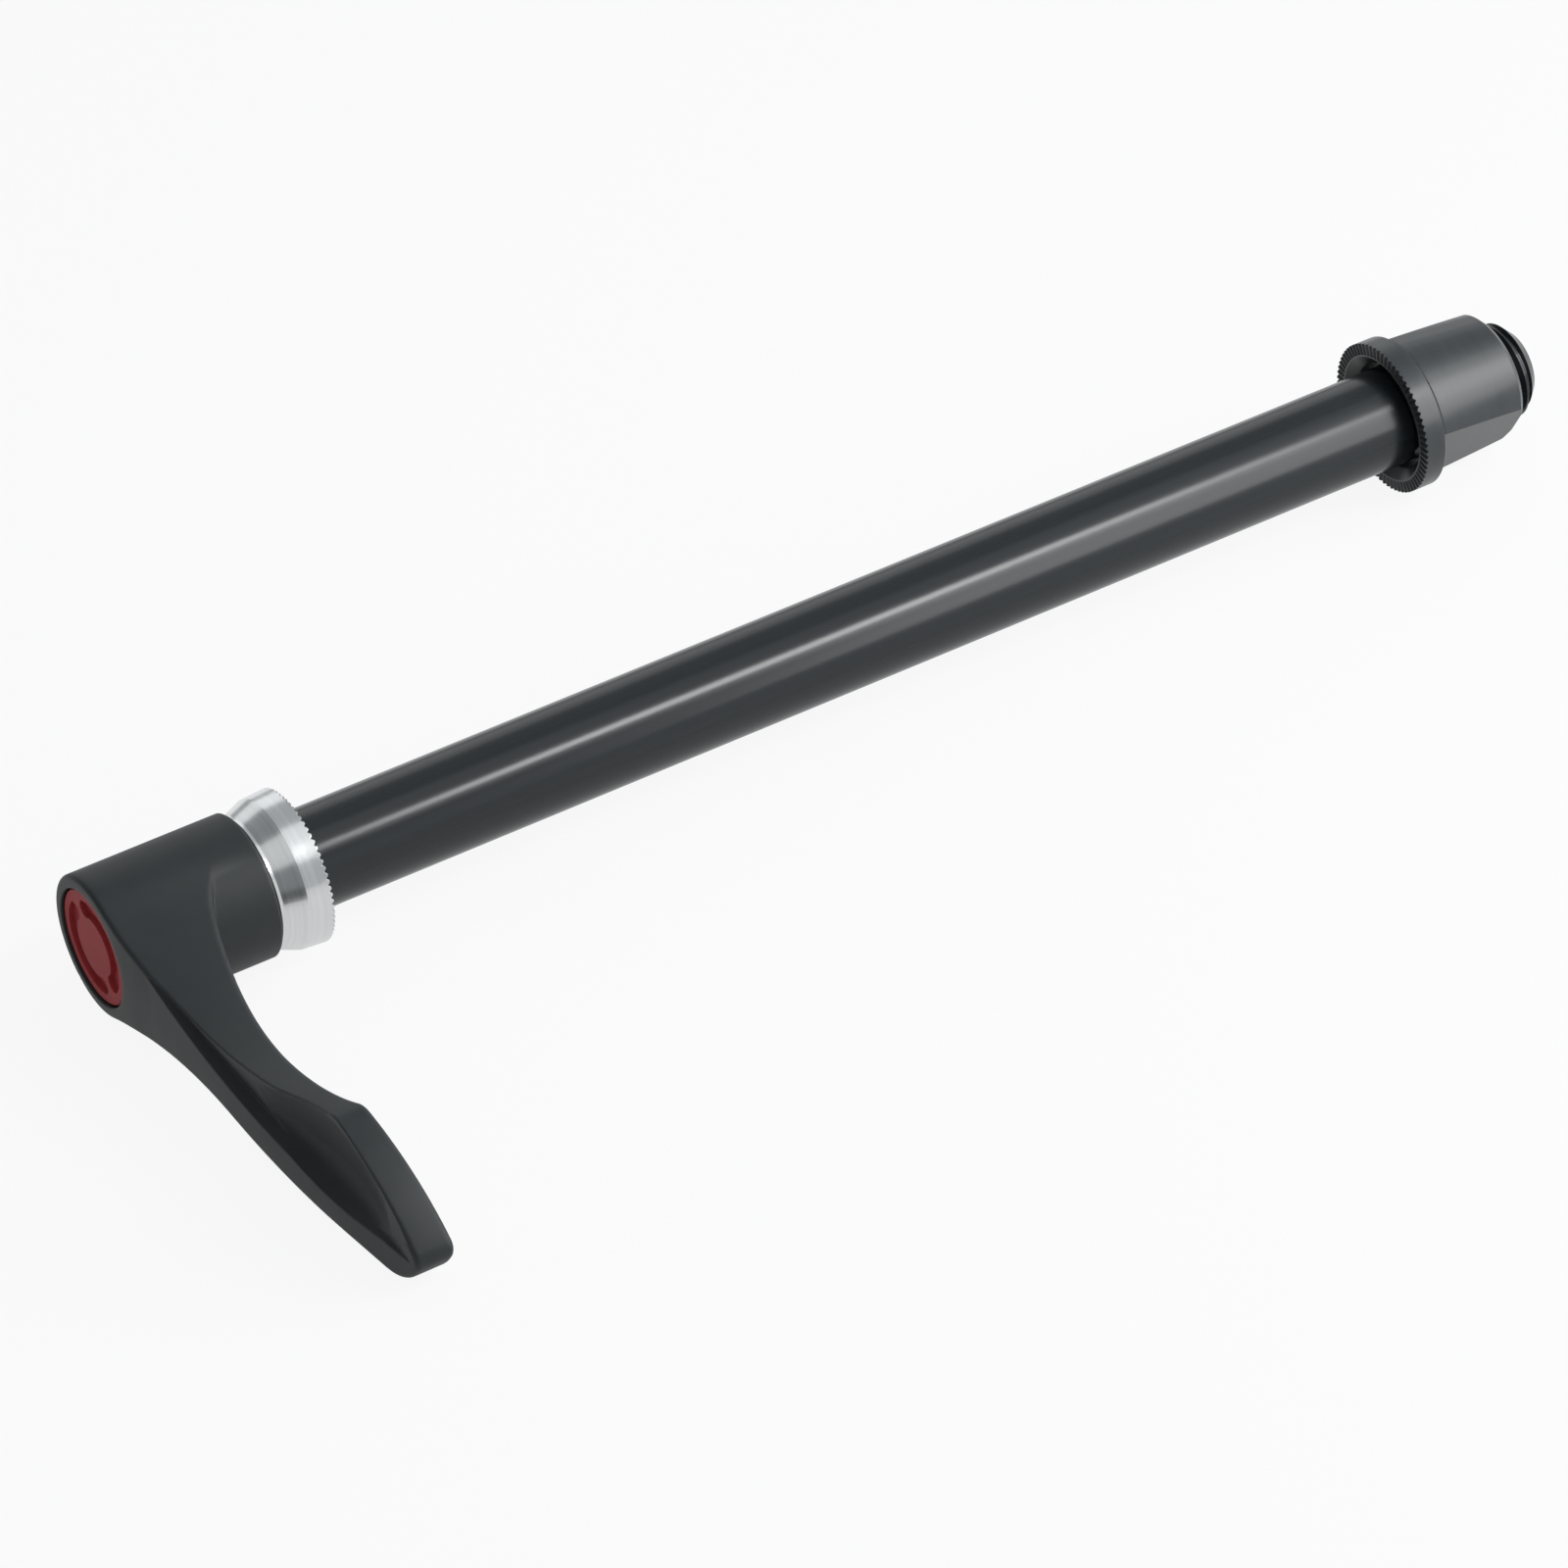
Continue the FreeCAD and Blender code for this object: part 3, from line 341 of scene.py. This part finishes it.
for side in (0, math.pi):
    middle = BRIDGE_TURN + math.pi / 2 + side
    cut_away(plate, slot_bar(middle))
    for end in (-1, 1):
        cut_away(plate, end_drill(middle + end * SLOT_SWEEP / 2))
print("slotted plate:", len(plate.data.polygons), "faces")

# %% [markdown]
# The boss behind the plate is hidden in the lever, so it is taken from the solid.

# %% cap boss
boss = merged_copy("lever_cap", "cap_boss")
cut_off(boss, CAP_PLANE, keep_left=False)
join_selected_to(plate)
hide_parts("lever_cap")
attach(plate, "axle")
print("cap:", len(plate.data.polygons), "faces")

# %% [markdown]
# The real lever has a thicker wall round the cap than the plain solid, and the cap fills it nearly
# to the edge. So a copy of the lever is narrowed there: the points of the bore are picked by their
# distance from the axis and scaled towards it.

# %% lever
SOLID_BORE = 0.0077
BORE = 0.00725
BORE_DEPTH = 0.012
BORE_SLACK = 0.00003
lever = merged_copy("lever", "finger_lever")
on_bore = 0
for vertex in lever.data.vertices:
    distance = math.hypot(vertex.co.y, vertex.co.z)
    near_cap = vertex.co.x < CAP_FACE + BORE_DEPTH
    vertex.select = abs(distance - SOLID_BORE) < BORE_SLACK and near_cap
    on_bore += vertex.select
only(lever)
bpy.ops.object.mode_set(mode="EDIT")
bpy.ops.transform.resize(value=(1, BORE / SOLID_BORE, BORE / SOLID_BORE),
                         center_override=(0, 0, 0))
bpy.ops.object.mode_set(mode="OBJECT")
bpy.ops.object.shade_smooth_by_angle(angle=SMOOTH_ANGLE)
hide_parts("lever")
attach(lever, "lever")
print("lever: bore points moved:", on_bore)

# %% [markdown]
# The washer's back is a straight cone that ends in a sharp ridge, and the plain solid has a hollow
# curve there. On a copy, each point of that curve is moved out to the straight line from the neck
# to the ridge. The ridge is blunt, so only a small angle is shaded smooth.

# %% washer
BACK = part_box("clamp_washer")[0].x
NECK_END, NECK_RADIUS = BACK + 0.0004, 0.0081
RIDGE, RIDGE_RADIUS = -0.00295, 0.00915
NECK_SLACK, RIDGE_SLACK = 0.0001, 0.00001
RIDGE_ANGLE = math.radians(12)
washer = merged_copy("clamp_washer", "coned_washer")
moved = 0
for vertex in washer.data.vertices:
    place = vertex.co
    radius = math.hypot(place.y, place.z)
    if radius > NECK_RADIUS - NECK_SLACK and NECK_END < place.x < RIDGE - RIDGE_SLACK:
        along = (place.x - NECK_END) / (RIDGE - NECK_END)
        wanted = NECK_RADIUS + along * (RIDGE_RADIUS - NECK_RADIUS)
        place.y *= wanted / radius
        place.z *= wanted / radius
        moved += 1
only(washer)
bpy.ops.object.shade_smooth_by_angle(angle=RIDGE_ANGLE)
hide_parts("clamp_washer")
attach(washer, "washer")
print("washer: points moved:", moved)

# %% [markdown]
# The spring stands on the cap and pushes the lever's web. When the lever is pulled out, the spring
# gets shorter by as much. Its copy rides with the axle and gets a mesh of its own.

# %% spring
WIRE_ANGLE = math.radians(40)
spring = merged_copy("lever_spring", "coil_spring")
bpy.ops.object.shade_smooth_by_angle(angle=WIRE_ANGLE)
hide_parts("lever_spring")
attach(spring, "axle")
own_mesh(spring)

# %% [markdown]
# A material is a small network of nodes. These helpers keep each one short: they make a material
# and return its main shader, add a node, stretch a value's range, and make a noise pattern.
# Patterns read Object coordinates, in metres, so they stay on the part from every side. The plain
# colour and roughness on the shader are what a simple viewer shows, where a pattern takes over.

# %% helpers for nodes
def new_finish(name, color, metallic, roughness, specular=0.5):
    material = bpy.data.materials.new(name)
    material.use_nodes = True
    shader = material.node_tree.nodes["Principled BSDF"]
    shader.inputs["Base Color"].default_value = (*color, 1)
    shader.inputs["Metallic"].default_value = metallic
    shader.inputs["Roughness"].default_value = roughness
    shader.inputs["Specular IOR Level"].default_value = specular
    return material, shader


def add_node(owner, kind, **settings):
    node = owner.node_tree.nodes.new(kind)
    for name, value in settings.items():
        if name in node.inputs:
            node.inputs[name].default_value = value
        else:
            setattr(node, name, value)
    return node


def ranged(owner, value, start, end, low, high):
    """Maps a value from the range start to end onto the range low to high."""
    node = add_node(owner, "ShaderNodeMapRange")
    node.inputs["From Min"].default_value = start
    node.inputs["From Max"].default_value = end
    node.inputs["To Min"].default_value = low
    node.inputs["To Max"].default_value = high
    owner.node_tree.links.new(value, node.inputs["Value"])
    return node.outputs["Result"]


def calculated(owner, operation, first, second):
    """A Math node that works on two values."""
    node = add_node(owner, "ShaderNodeMath", operation=operation)
    owner.node_tree.links.new(first, node.inputs[0])
    owner.node_tree.links.new(second, node.inputs[1])
    return node.outputs[0]


def stretched_noise(material, scale, stretch, detail=3):
    """Noise on Object coordinates; stretch is the pattern's scale along X, Y and Z."""
    place = add_node(material, "ShaderNodeTexCoord")
    mapping = add_node(material, "ShaderNodeMapping", Scale=stretch)
    noise = add_node(material, "ShaderNodeTexNoise", Scale=scale, Detail=detail)
    links = material.node_tree.links
    links.new(place.outputs["Object"], mapping.inputs["Vector"])
    links.new(mapping.outputs["Vector"], noise.inputs["Vector"])
    return noise.outputs["Fac"]


print("node helpers ready")

# %% [markdown]
# The next helpers put patterns to use. Tiny bumps lie on top of a Bevel node, which rounds every
# sharp edge a little in the light, as tumbling and handling do. A pattern can spread a value such
# as the roughness, or tint the colour. Edges are painted paler, partly as wear and partly as a
# painted highlight: where the rounded normal leaves the flat one, the face is at an edge, and the
# paler colour shows there in patches.

# %% helpers for finishes
EDGE = 0.00015
FLAT_NORMALS, EDGE_NORMALS = 0.99, 0.85


def bumps(material, shader, height, strength, edge=EDGE):
    """Tiny bumps from a pattern, on edges that look rounded to the radius edge."""
    soft = add_node(material, "ShaderNodeBevel", Radius=edge, samples=6)
    bump = add_node(material, "ShaderNodeBump", Strength=strength, Distance=0.00001)
    links = material.node_tree.links
    links.new(soft.outputs["Normal"], bump.inputs["Normal"])
    links.new(height, bump.inputs["Height"])
    links.new(bump.outputs["Normal"], shader.inputs["Normal"])


def spread(material, shader, socket, value, low, high):
    """Lets a pattern vary one of the shader's values between low and high."""
    material.node_tree.links.new(ranged(material, value, 0, 1, low, high), shader.inputs[socket])


def tinted(material, shader, value, first, second):
    """Lets a pattern blend the base colour between two near colours."""
    ramp = add_node(material, "ShaderNodeValToRGB")
    for stop, position, color in zip(ramp.color_ramp.elements, (0.3, 0.7), (first, second)):
        stop.position = position
        stop.color = (*color, 1)
    material.node_tree.links.new(value, ramp.inputs["Fac"])
    material.node_tree.links.new(ramp.outputs["Color"], shader.inputs["Base Color"])
    return ramp.outputs["Color"]


def edge_wear_and_highlight(material, shader, tint, value, pale_edge, edge=EDGE):
    """Paints sharp edges pale where the pattern is high: partly wear, partly painted highlight."""
    soft = add_node(material, "ShaderNodeBevel", Radius=edge, samples=6)
    shape = add_node(material, "ShaderNodeNewGeometry")
    facing = add_node(material, "ShaderNodeVectorMath", operation="DOT_PRODUCT")
    blend = add_node(material, "ShaderNodeMixRGB", Color2=(*pale_edge, 1))
    links = material.node_tree.links
    links.new(soft.outputs["Normal"], facing.inputs[0])
    links.new(shape.outputs["Normal"], facing.inputs[1])
    at_edge = ranged(material, facing.outputs["Value"], FLAT_NORMALS, EDGE_NORMALS, 0, 1)
    links.new(calculated(material, "MULTIPLY", at_edge, value), blend.inputs["Fac"])
    links.new(tint, blend.inputs["Color1"])
    links.new(blend.outputs["Color"], shader.inputs["Base Color"])


def paint(item, material):
    item.data.materials.clear()
    item.data.materials.append(material)


print("finish helpers ready")

# %% [markdown]
# The shaft is anodised aluminium: a thin, hard, dyed skin on drawn metal. The skin is smooth and
# mirrors the lamps in soft streaks, and its dark dye swallows the rest. Fine lines from drawing the
# tube run along the shaft, so the pattern is stretched along X.

# %% anodised black
anodised, shader = new_finish("anodised_black", (0.0115, 0.0145, 0.017), 0.0, 0.22, 0.42)
lines = stretched_noise(anodised, 900, (0.02, 1, 1))
bumps(anodised, shader, lines, 0.1, 0.00008)
spread(anodised, shader, "Roughness", lines, 0.18, 0.26)
tinted(anodised, shader, lines, (0.0103, 0.0131, 0.0154), (0.0127, 0.0159, 0.0186))
paint(shank, anodised)
print("shaft painted")

# %% [markdown]
# The nut has the same skin, but it is duller, with fine rings from the lathe round the axis. Its
# edges are painted paler in patches, partly as wear where the teeth bite into the frame and partly
# as a painted highlight.

# %% turned black
turned_black, shader = new_finish("turned_black", (0.027, 0.031, 0.034), 0.0, 0.3)
rings = stretched_noise(turned_black, 900, (1, 0.02, 0.02))
bumps(turned_black, shader, rings, 0.12)
spread(turned_black, shader, "Roughness", rings, 0.26, 0.34)
tint = tinted(turned_black, shader, rings, (0.024, 0.028, 0.031), (0.030, 0.034, 0.037))
# The pale edges show in these patches: partly wear, partly painted highlight.
edge_spots = stretched_noise(turned_black, 1300, (1, 1, 1), 2)
edge_wear_and_highlight(turned_black, shader, tint, edge_spots, (0.13, 0.135, 0.14))
paint(nodes["axle_nut"], turned_black)
print("nut painted")

# %% [markdown]
# The lever has a matte black coating. Light spreads on it in broad soft patches, and a close look
# shows a fine grain, so it gets a high roughness and a very small, even noise as bumps.

# %% matte black
coated, shader = new_finish("lever_coating", (0.022, 0.0255, 0.0275), 0.0, 0.5, 0.32)
grain = stretched_noise(coated, 9000, (1, 1, 1), 2)
bumps(coated, shader, grain, 0.2, 0.0005)
patches = stretched_noise(coated, 160, (1, 1, 1), 3)
spread(coated, shader, "Roughness", patches, 0.46, 0.56)
tint = tinted(coated, shader, patches, (0.020, 0.0235, 0.0255), (0.024, 0.0275, 0.0295))
# The edges are painted a little paler in patches, partly as wear and partly as a painted highlight.
edge_wear_and_highlight(coated, shader, tint, patches, (0.06, 0.064, 0.068), 0.0002)
paint(lever, coated)
print("lever painted")

# %% [markdown]
# The cap is a dull dark red. It is moulded, so its grain is softer than the lever's.

# %% dull red
red, shader = new_finish("cap_red", (0.42, 0.05, 0.055), 0.0, 0.55, 0.15)
grain = stretched_noise(red, 5000, (1, 1, 1), 2)
bumps(red, shader, grain, 0.15)
patches = stretched_noise(red, 400, (1, 1, 1), 3)
spread(red, shader, "Roughness", patches, 0.5, 0.62)
tint = tinted(red, shader, patches, (0.39, 0.044, 0.049), (0.45, 0.056, 0.061))
# The edges are painted a paler red in patches, partly as wear and partly as a painted highlight.
edge_wear_and_highlight(red, shader, tint, patches, (0.52, 0.12, 0.12))
paint(plate, red)
print("cap painted")

# %% [markdown]
# The clamp washer is bare aluminium from the lathe. The tool leaves rings round the axis, so its
# noise changes quickly along X and hardly at all round the washer.

# %% turned silver
silver, shader = new_finish("turned_silver", (0.72, 0.73, 0.735), 1.0, 0.2)
rings = stretched_noise(silver, 1500, (1, 0.01, 0.01))
bumps(silver, shader, rings, 0.08, 0.00006)
spread(silver, shader, "Roughness", rings, 0.16, 0.26)
tinted(silver, shader, rings, (0.68, 0.69, 0.695), (0.76, 0.77, 0.775))
paint(washer, silver)
print("washer painted")

# %% [markdown]
# Three small parts hide inside: the spring, the brass bearing washer and the rubber ring. They are
# seen only when the lever is pulled out or the part is taken apart, but they get real finishes.
# One even grain gives each its bumps, its roughness and its shades.

# %% inner parts
def grained(made, scale, strength, rough, dark, pale):
    """Puts one even grain on the material and shader in made."""
    grain = stretched_noise(made[0], scale, (1, 1, 1))
    bumps(*made, grain, strength)
    spread(*made, "Roughness", grain, *rough)
    tinted(*made, grain, dark, pale)
    return made[0]


steel = grained(new_finish("spring_steel", (0.5, 0.5, 0.51), 1.0, 0.3),
                2500, 0.15, (0.24, 0.36), (0.45, 0.45, 0.46), (0.55, 0.55, 0.56))
paint(spring, steel)
brass = grained(new_finish("bearing_brass", (0.6, 0.42, 0.16), 1.0, 0.3),
                1200, 0.15, (0.24, 0.36), (0.55, 0.38, 0.14), (0.65, 0.46, 0.18))
paint(nodes["thrust_washer"], brass)
rubber = grained(new_finish("ring_rubber", (0.02, 0.02, 0.02), 0.0, 0.6),
                 3000, 0.2, (0.55, 0.7), (0.017, 0.017, 0.017), (0.024, 0.024, 0.024))
paint(nodes["washer_ring"], rubber)
print("inner parts painted")

# %% [markdown]
# The part lies on a plain white table. To the rest of the light the table is a pale surface that
# keeps a soft shadow. To the camera most of it is plain white, and mirror-like metal sees it too:
# dimmer in front of the part, and whiter towards the back, where the shaft and the washer mirror
# the far side of a studio.

# %% floor
SEEN_WHITE = 0.9
FRONT_Y, FAR_Y = -0.2, 0.1
FRONT_WHITE, FAR_WHITE = 0.1, 0.9
lowest = min(corner[2] for corner in cad_box)
bpy.ops.object.select_all(action="DESELECT")
bpy.ops.mesh.primitive_plane_add(size=6, location=(0, 0, lowest))
floor = bpy.context.object
floor.name = "floor"
table, shader = new_finish("white_table", (0.6, 0.6, 0.6), 0.0, 0.9)
links = table.node_tree.links
ray = add_node(table, "ShaderNodeLightPath").outputs
place = add_node(table, "ShaderNodeTexCoord")
axes = add_node(table, "ShaderNodeSeparateXYZ")
links.new(place.outputs["Object"], axes.inputs[0])
white = ranged(table, axes.outputs["Y"], FRONT_Y, FAR_Y, FRONT_WHITE, FAR_WHITE)
by_mirror = calculated(table, "MAXIMUM", ray["Is Glossy Ray"], ray["Is Transmission Ray"])
mirrored = calculated(table, "MULTIPLY", by_mirror, white)
direct = ranged(table, ray["Is Camera Ray"], 0, 1, 0, SEEN_WHITE)
glow = add_node(table, "ShaderNodeEmission", Strength=1.0, Color=(1, 1, 1, 1))
mixed = add_node(table, "ShaderNodeMixShader")
links.new(calculated(table, "MAXIMUM", direct, mirrored), mixed.inputs[0])
links.new(shader.outputs["BSDF"], mixed.inputs[1])
links.new(glow.outputs["Emission"], mixed.inputs[2])
links.new(mixed.outputs["Shader"], table.node_tree.nodes["Material Output"].inputs["Surface"])
floor.data.materials.append(table)
print("floor at", round(lowest * 1000, 2), "mm")

# %% [markdown]
# Six soft lamps stand round the part. A small one in front and above draws the streak along the
# shaft, and a large weak one overhead lifts the upper sides. A weak one fills in from the front. A
# near one lights the nut's end, where the camera would see it, so it is hidden from the camera. A
# broad one behind brightens the upper edges, and one on the right lights the washer and the lever.
# A lamp's brightness is its power over its area, so a broad lamp can be strong and still look
# gentle in the metal.

# %% lamps
def soft_lamp(name, toward, distance, width, height, brightness, aim):
    """A rectangular lamp in the direction toward, facing aim; its width lies along X."""
    back = Vector(toward).normalized()
    across = Vector((1, 0, 0))
    across = (across - back * across.dot(back)).normalized()
    up = back.cross(across)
    data = bpy.data.lights.new(name, "AREA")
    data.shape = "RECTANGLE"
    data.size = width
    data.size_y = height
    data.energy = brightness * math.pi * width * height
    lamp = bpy.data.objects.new(name, data)
    lamp.matrix_world = Matrix.Translation(Vector(aim) + back * distance) @ Matrix(
        (across, up, back)).transposed().to_4x4()
    bpy.context.scene.collection.objects.link(lamp)
    return lamp


MIDDLE = (0.07, 0, 0)
soft_lamp("streak_lamp", toward=(0.385, -0.56, 0.735), distance=0.9,
          width=0.2, height=0.14, brightness=18, aim=(0.06, 0, 0))
soft_lamp("overhead_lamp", toward=(0.2, -0.42, 0.86), distance=1.1,
          width=2.2, height=1.1, brightness=0.5, aim=MIDDLE)
soft_lamp("fill_lamp", toward=(0.6, -0.8, 0.2), distance=1.2,
          width=1.0, height=0.6, brightness=0.35, aim=MIDDLE)
side_lamp = soft_lamp("side_lamp", toward=(0.385, -0.8, 0.46), distance=0.3,
                      width=0.26, height=0.26, brightness=3.5, aim=(0.21, 0, 0))
side_lamp.visible_camera = False
soft_lamp("rear_lamp", toward=(0.3, 0.83, 0.45), distance=1.4,
          width=2.2, height=0.7, brightness=0.6, aim=MIDDLE)
soft_lamp("right_lamp", toward=(0.85, -0.3, 0.42), distance=0.8,
          width=0.5, height=0.5, brightness=2.3, aim=(-0.02, -0.03, 0))

# %% [markdown]
# The world is a plain dome, a little bluish, that lights all sides. It is darker on the lever's
# side, so the lever's outer face and the cap stay as deep in tone as they are.

# %% dome
LEVER_SIDE, NUT_SIDE = -0.35, 0.3
LEVER_LIGHT, NUT_LIGHT = 0.25, 0.5
world = bpy.data.worlds.new("studio")
world.use_nodes = True
bpy.context.scene.world = world
dome = world.node_tree.nodes["Background"]
dome.inputs["Color"].default_value = (0.93, 0.97, 1.0, 1)
links = world.node_tree.links
direction = add_node(world, "ShaderNodeTexCoord")
axes = add_node(world, "ShaderNodeSeparateXYZ")
links.new(direction.outputs["Generated"], axes.inputs[0])
strength = ranged(world, axes.outputs["X"], LEVER_SIDE, NUT_SIDE, LEVER_LIGHT, NUT_LIGHT)
links.new(strength, dome.inputs["Strength"])
print("dome strength:", LEVER_LIGHT, "to", NUT_LIGHT)

# %% [markdown]
# The last cell prints a closing line.

# %% finish
print("scene built")
